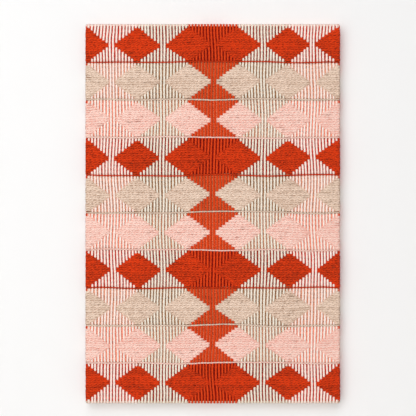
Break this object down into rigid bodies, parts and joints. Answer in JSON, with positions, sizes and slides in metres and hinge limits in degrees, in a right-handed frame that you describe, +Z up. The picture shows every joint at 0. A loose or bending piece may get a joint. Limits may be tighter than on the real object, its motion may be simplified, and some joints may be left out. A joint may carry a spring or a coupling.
{
  "type": "textile wall hanging on stretcher frame",
  "caption": "Upright rectangular handwoven cloth with ribbed and plain lozenges, stretched over a mitred wooden stretcher frame to hang flat on a wall.",
  "frame": {"origin": "middle of the cloth's top edge, in the plane of the wall that the back lies on", "axes": "+X to the right seen from the front, +Y into the wall, +Z up; the woven face looks along -Y"},
  "size_m": [0.5166, 0.0296, 0.7702],
  "materials": {
    "woven_yarn": "matte wool yarn in orange red, blush pink and oatmeal",
    "planed_pine": "bare planed softwood"
  },
  "bodies": {
    "root": {"cloth": "woven_yarn", "bar_top": "planed_pine", "bar_bottom": "planed_pine", "bar_left": "planed_pine", "bar_right": "planed_pine"}
  },
  "joints": []
}
